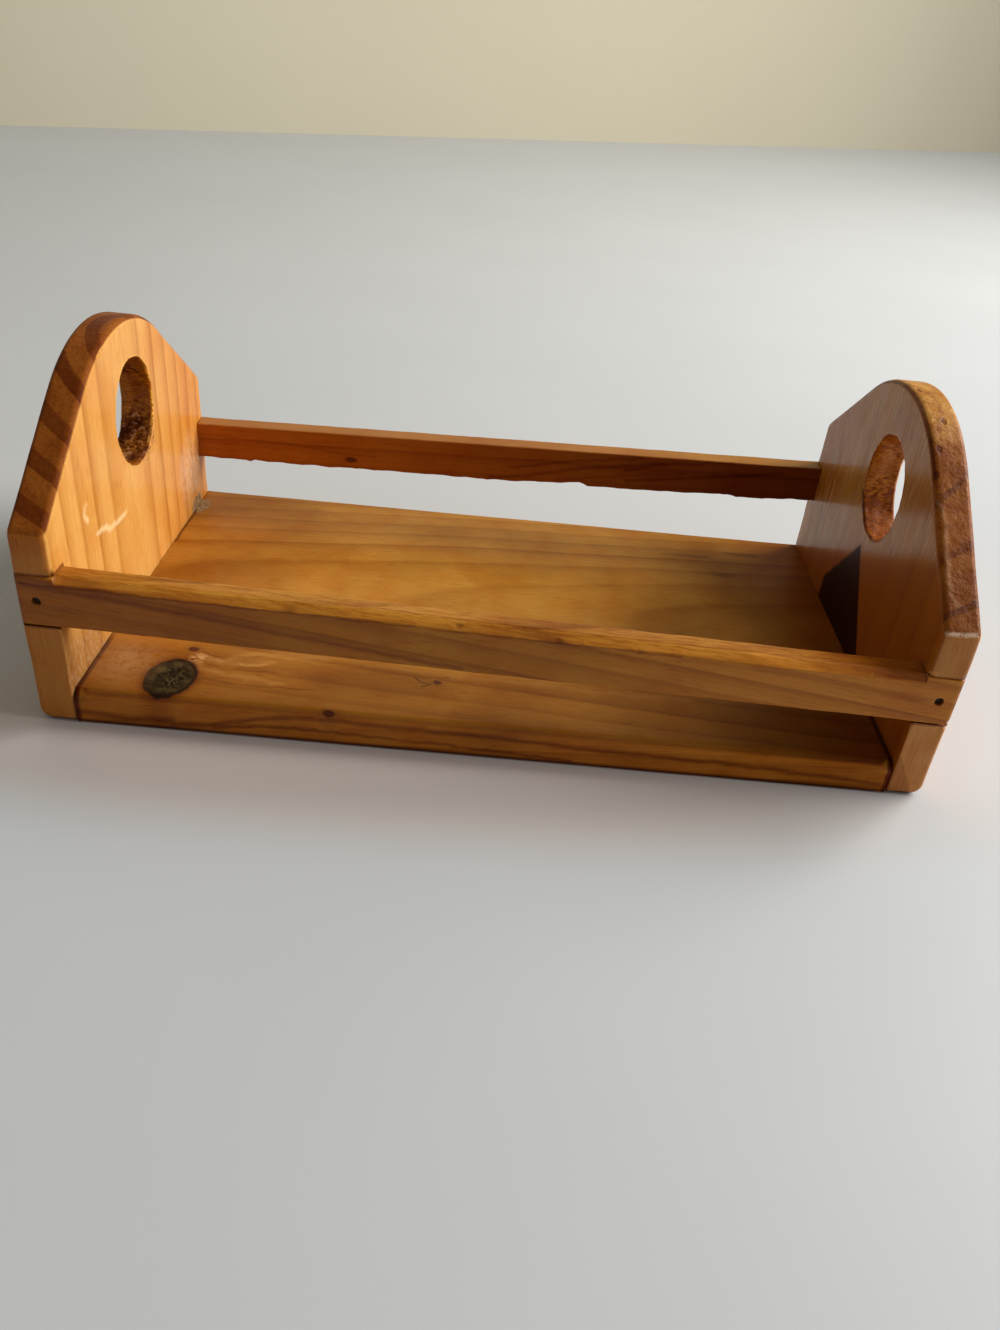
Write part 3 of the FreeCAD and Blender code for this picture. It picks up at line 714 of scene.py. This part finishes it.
back_wood.tint((0.44, 0.30, 0.4), back_front, back_wood.fade(back_wood.x, -100.0, 150.0))
for points, width, strength in (
        (((-8.0, 36.3), (9.9, 38.7), (27.0, 43.2), (44.2, 46.2), (70.0, 50.3)), 3.0, 0.6),
        (((0.8, 41.5), (28.3, 47.5), (40.3, 49.1), (60.0, 52.0)), 2.6, 0.55),
        (((22.0, 38.0), (50.0, 42.5), (80.0, 46.5)), 2.0, 0.4),
        (((53.8, 40.6), (79.7, 44.1), (101.2, 47.2), (122.4, 50.7)), 3.0, 0.6),
        (((53.1, 45.3), (65.7, 49.3), (78.5, 51.0), (100.0, 53.5)), 2.6, 0.6),
        (((-139.0, 44.0), (-100.0, 43.2), (-76.0, 41.0), (-60.0, 40.6)), 2.0, 0.35)):
    line = back_wood.trail([(x, back_face, z) for x, z in points], width, wobble=1.0)
    back_wood.tint((0.45, 0.26, 0.22), line, strength)
back_top = back_wood.towards((0.0, 0.0, 1.0))
back_wood.tint((1.0, 1.12, 0.85), back_top, back_wood.fade(back_wood.x, 20.0, 120.0))
knot_spot = back_wood.patch(back_knot, (2.0, 20.0, 1.0), outer=1.8, inner=0.8, wobble=0.8)
back_wood.stain((0.07, 0.015, 0.004), knot_spot, 0.85)
back_body = worn_copy("back_rail", spacing=0.002, depth=0.0002, patch=0.012, seed=9.0,
                      seats=("left_end_panel", "right_end_panel"))
torn_height = 5.0
for vertex in back_body.verts:
    x, z = vertex.co.x * 1000.0, vertex.co.z * 1000.0
    straight_edge = 36.25 + 23.25 * vertex.co.x
    if abs(x) < 139.0:
        for (x0, hang0), (x1, hang1) in zip(torn_edge, torn_edge[1:]):
            if x0 <= x <= x1:
                hang = hang0 + (hang1 - hang0) * (x - x0) / (x1 - x0)
        hang += 0.5 * noise.noise(Vector((x / 7.0, 0.0, 0.0)))
        hang += 0.25 * noise.noise(Vector((x / 2.5, 3.0, 0.0)))
        share = max(0.0, 1.0 - (z - straight_edge) / torn_height)
        vertex.co.z -= hang * min(1.0, share) / 1000.0
finished(back_body, "back_rail",
         back_wood.varnish(roughness=0.42, coat=0.22, end_coat=0.15, coat_roughness=0.2))


# Nails. Round wire nails of mild steel, driven through the rails and the end panels and punched just below
# the surface. They have gone dark and a little rusty. Their shape is the CAD's own.
steel = Finish("dark_nail_steel")
rust = steel.fade(steel.noise(steel.place, scale=0.9, detail=3.0), 0.45, 0.65)
steel.put(steel.mix(rust, (0.02, 0.018, 0.016), (0.05, 0.025, 0.014)), steel.shader.inputs["Base Color"])
steel.shader.inputs["Metallic"].default_value = 0.4
steel.shader.inputs["Roughness"].default_value = 0.6
for nail_node in ("front_rail_nails", "back_rail_nails", "left_panel_nails", "right_panel_nails"):
    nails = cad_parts[nail_node]
    nails.data.materials.clear()
    nails.data.materials.append(steel.material)


# Table and wall. A pale, smooth table top that the tote stands on, faintly warm in front where the wood
# throws light on it, and a plain plastered wall, cream and matt, that stands at an angle far behind it.
def stage_sheet(name, size, material, placement):
    """A square sheet that reaches this far each way from its middle and isn't part of the object."""
    mesh = bpy.data.meshes.new(name)
    shape = bmesh.new()
    bmesh.ops.create_grid(shape, x_segments=1, y_segments=1, size=size, matrix=placement)
    shape.to_mesh(mesh)
    shape.free()
    mesh.materials.append(material)
    sheet = bpy.data.objects.new(name, mesh)
    bpy.context.scene.collection.objects.link(sheet)


table = Finish("pale_table")
haze = table.noise(table.place, scale=0.006, detail=4.0)
table_colour = table.mix(haze, (0.545, 0.55, 0.545), (0.595, 0.60, 0.595))
warmth = table.both(table.patch((-50.0, -92.0, 0.0), (230.0, 42.0, 20.0), outer=1.2, inner=0.4), 0.9)
table.put(table.mix(warmth, table_colour, (0.56, 0.49, 0.44)), table.shader.inputs["Base Color"])
table.shader.inputs["Roughness"].default_value = 0.45
table.shader.inputs["Specular IOR Level"].default_value = 0.25
stage_sheet("table", 12.0, table.material, Matrix.Identity(4))

plaster = Finish("pale_wall")
drift = plaster.noise(plaster.place, scale=0.002, detail=3.0)
plaster.put(plaster.mix(drift, (0.56, 0.50, 0.36), (0.62, 0.56, 0.41)), plaster.shader.inputs["Base Color"])
plaster.shader.inputs["Roughness"].default_value = 0.8
wall_place = Matrix.Translation((-0.058, 1.675, 0.0))
wall_turn = Matrix.Rotation(math.radians(30.4), 4, "Z") @ Matrix.Rotation(math.radians(90.0), 4, "X")
stage_sheet("wall", 8.0, plaster.material, wall_place @ wall_turn)


# Light. One large window at the right and a little behind the tote, which gives the long soft shadows to
# the left, a second one further back that lights the wall, and a dim room that fills the rest.
def window(name, place, target, width, height, power):
    """A white, softly lit pane at this place that faces the target."""
    lamp = bpy.data.lights.new(name, "AREA")
    lamp.shape = "RECTANGLE"
    lamp.size = width
    lamp.size_y = height
    lamp.energy = power
    fitting = bpy.data.objects.new(name, lamp)
    fitting.location = place
    fitting.rotation_euler = (Vector(target) - Vector(place)).to_track_quat("-Z", "Y").to_euler()
    bpy.context.scene.collection.objects.link(fitting)


window("near_window", place=(1.35, 0.35, 0.95), target=(0.0, 0.0, 0.05), width=1.3, height=1.2, power=38.0)
window("far_window", place=(1.6, 1.3, 1.4), target=(0.0, 1.4, 0.2), width=1.0, height=1.2, power=13.0)

room = bpy.data.worlds.new("room")
room.use_nodes = True
room.node_tree.nodes["Background"].inputs["Color"].default_value = (0.62, 0.64, 0.66, 1.0)
room.node_tree.nodes["Background"].inputs["Strength"].default_value = 0.42
bpy.context.scene.world = room


# Camera. It looks down at the front of the tote from close by, a little turned and tilted. A slightly wide
# lens of 28 mm takes in the table and a strip of the wall.
camera_data = bpy.data.cameras.new("camera")
camera_data.lens = 27.905
camera_data.sensor_width = 36.0
camera = bpy.data.objects.new("camera", camera_data)
camera_place = Matrix.Translation((-0.00252, -0.36390, 0.22129))
turned = Matrix.Rotation(math.radians(-1.033), 4, "Z")
lowered = Matrix.Rotation(math.radians(-33.114), 4, "X")
tilted = Matrix.Rotation(math.radians(-5.699), 4, "Y")
level_view = Matrix.Rotation(math.radians(90.0), 4, "X")
camera.matrix_world = camera_place @ turned @ lowered @ tilted @ level_view
bpy.context.scene.collection.objects.link(camera)
bpy.context.scene.camera = camera
bpy.context.scene.view_settings.view_transform = "Standard"
